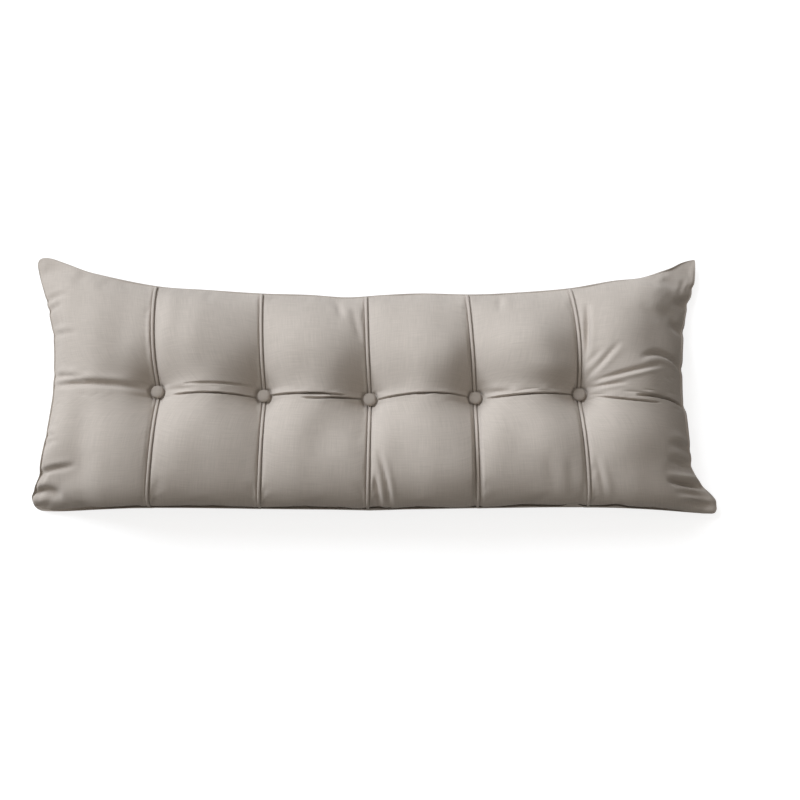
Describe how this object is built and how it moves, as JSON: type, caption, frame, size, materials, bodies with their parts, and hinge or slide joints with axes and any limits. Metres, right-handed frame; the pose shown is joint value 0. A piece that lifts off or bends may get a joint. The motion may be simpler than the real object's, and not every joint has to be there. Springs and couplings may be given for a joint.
{
  "type": "reading pillow",
  "caption": "Long button-tufted reading pillow: plump front panels parted by raised welts, cloth-covered buttons, pointed corners and a knife-edge seam.",
  "frame": {"origin": "centre of the bounding box, on the surface that the pillow's back rests on", "axes": "+X along the pillow, +Y towards its upper edge, +Z out of its tufted front"},
  "size_m": [1.35, 0.52, 0.1719],
  "materials": {
    "panel_cloth": "matte slubbed linen-look weave, warm grey",
    "welt_cloth": "the panels' cloth, folded into a narrow raised strip",
    "button_cloth": "the panels' cloth, stretched over a button form"
  },
  "bodies": {
    "root": {"cushion": "panel_cloth", "welt_1": "welt_cloth", "welt_2": "welt_cloth", "welt_3": "welt_cloth", "welt_4": "welt_cloth", "welt_5": "welt_cloth", "button_1": "button_cloth", "button_2": "button_cloth", "button_3": "button_cloth", "button_4": "button_cloth", "button_5": "button_cloth"}
  },
  "joints": []
}
